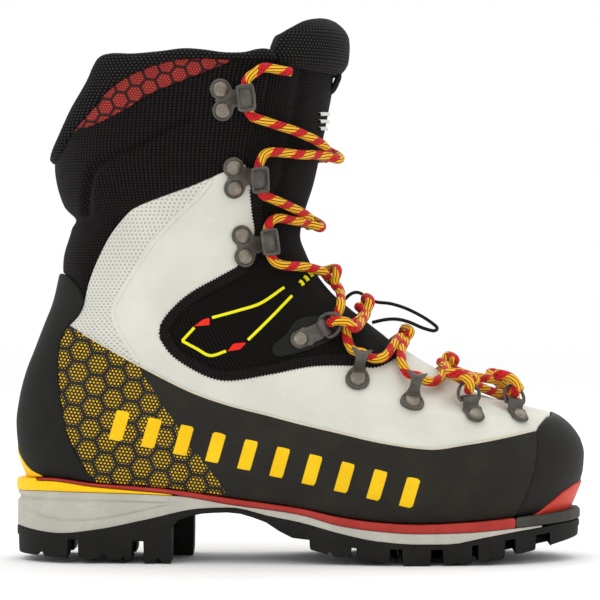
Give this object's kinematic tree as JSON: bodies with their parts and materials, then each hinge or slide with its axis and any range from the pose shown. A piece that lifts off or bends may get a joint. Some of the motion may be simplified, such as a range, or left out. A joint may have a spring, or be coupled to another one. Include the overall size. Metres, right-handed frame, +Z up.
{
  "type": "mountaineering boot",
  "caption": "Laced insulated mountaineering boot for the right foot, with a stiff lugged sole, a rubber rand, a hinging cuff and a padded tongue.",
  "frame": {"origin": "on the ground under the middle of the boot's length and width", "axes": "+X to the toe, -Y to the outer (lateral) side, +Z up"},
  "size_m": [0.2908, 0.1138, 0.2772],
  "materials": {
    "outsole_rubber": "moulded, matt",
    "midsole_foam": "moulded, matt",
    "yellow_rubber": "moulded, satin",
    "red_plastic": "moulded, satin",
    "grey_rubber": "moulded, matt",
    "board": "fibre board",
    "felt": "felt",
    "shank_plastic": "fibre composite",
    "rand_rubber": "matt, fine grain",
    "white_leather": "matt, fine grain",
    "black_textile": "dense stretch weave",
    "cuff_textile": "ribbed softshell",
    "collar_mesh": "dotted mesh over foam",
    "red_mesh": "mesh with a printed hexagon grid",
    "lining_fleece": "brushed fleece",
    "webbing": "woven",
    "lace_cord": "braided, red with yellow stripes",
    "elastic_cord": "braided elastic",
    "hardware_metal": "grey, satin"
  },
  "bodies": {
    "foot": {"ankle_ring_clip_lateral": "hardware_metal", "ankle_ring_clip_medial": "hardware_metal", "flex_panel_lateral": "black_textile", "flex_panel_medial": "black_textile", "footbed": "felt", "heel_counter": "rand_rubber", "heel_insert": "yellow_rubber", "insole_board": "board", "lace": "lace_cord", "lace_guide_lateral_1": "hardware_metal", "lace_guide_lateral_2": "hardware_metal", "lace_guide_medial_1": "hardware_metal", "lace_guide_medial_2": "hardware_metal", "lining_foot": "lining_fleece", "midsole": "midsole_foam", "outsole": "outsole_rubber", "pull_cord": "elastic_cord", "rand_lateral": "rand_rubber", "rand_medial": "rand_rubber", "ring_clip_lateral_1": "hardware_metal", "ring_clip_lateral_2": "hardware_metal", "ring_clip_medial_1": "hardware_metal", "ring_clip_medial_2": "hardware_metal", "shank": "shank_plastic", "sole_plate": "red_plastic", "toe_cap": "rand_rubber", "toe_welt": "grey_rubber", "tongue_lower": "black_textile", "vamp": "white_leather"},
    "cuff": {"collar": "collar_mesh", "cuff": "cuff_textile", "heel_stay": "rand_rubber", "hex_panel_lateral": "red_mesh", "hex_panel_medial": "red_mesh", "lining_cuff": "lining_fleece", "quarter_lateral": "white_leather", "quarter_medial": "white_leather", "speed_hook_lateral_1": "hardware_metal", "speed_hook_lateral_2": "hardware_metal", "speed_hook_lateral_3": "hardware_metal", "speed_hook_medial_1": "hardware_metal", "speed_hook_medial_2": "hardware_metal", "speed_hook_medial_3": "hardware_metal", "tongue_tab": "webbing", "tongue_upper": "black_textile"},
    "tongue_top": {"tongue_pad": "collar_mesh"},
    "ring_lateral_1": {"ring_lateral_1": "hardware_metal"},
    "ring_lateral_2": {"ring_lateral_2": "hardware_metal"},
    "ring_medial_1": {"ring_medial_1": "hardware_metal"},
    "ring_medial_2": {"ring_medial_2": "hardware_metal"},
    "ankle_ring_lateral": {"ankle_ring_lateral": "hardware_metal"},
    "ankle_ring_medial": {"ankle_ring_medial": "hardware_metal"}
  },
  "joints": [
    {"name": "ankle_flex", "type": "hinge", "parent": "foot", "child": "cuff", "pos_m": [-0.07, 0, 0.115], "axis": [0, 1, 0], "range_deg": [-4, 12], "deforming": ["flex_panel_lateral", "flex_panel_medial", "tongue_lower", "lace"]},
    {"name": "tongue_fold", "type": "hinge", "parent": "cuff", "child": "tongue_top", "pos_m": [0.0205, 0, 0.2474], "axis": [0, 1, 0], "range_deg": [0, 25], "deforming": ["lace"]},
    {"name": "ankle_ring_lateral_swing", "type": "hinge", "parent": "foot", "child": "ankle_ring_lateral", "pos_m": [0.01211, -0.03342, 0.11852], "axis": [-0.4539, 0.288, 0.8432], "range_deg": [-20, 10], "deforming": ["lace"]},
    {"name": "ankle_ring_medial_swing", "type": "hinge", "parent": "foot", "child": "ankle_ring_medial", "pos_m": [0.01223, 0.03256, 0.11842], "axis": [0.428, 0.2444, -0.8701], "range_deg": [-20, 10], "deforming": ["lace"]},
    {"name": "ring_lateral_1_swing", "type": "hinge", "parent": "foot", "child": "ring_lateral_1", "pos_m": [0.08514, -0.03973, 0.08299], "axis": [-0.9178, -0.3961, -0.0266], "range_deg": [-20, 10], "deforming": ["lace"]},
    {"name": "ring_lateral_2_swing", "type": "hinge", "parent": "foot", "child": "ring_lateral_2", "pos_m": [0.1087, -0.02535, 0.08117], "axis": [-0.8846, -0.4343, 0.1701], "range_deg": [-20, 10], "deforming": ["lace"]},
    {"name": "ring_medial_1_swing", "type": "hinge", "parent": "foot", "child": "ring_medial_1", "pos_m": [0.08501, 0.04394, 0.08282], "axis": [0.9419, -0.3274, 0.0746], "range_deg": [-20, 10], "deforming": ["lace"]},
    {"name": "ring_medial_2_swing", "type": "hinge", "parent": "foot", "child": "ring_medial_2", "pos_m": [0.10868, 0.03276, 0.08098], "axis": [0.9117, -0.3857, -0.1417], "range_deg": [-20, 10], "deforming": ["lace"]}
  ]
}
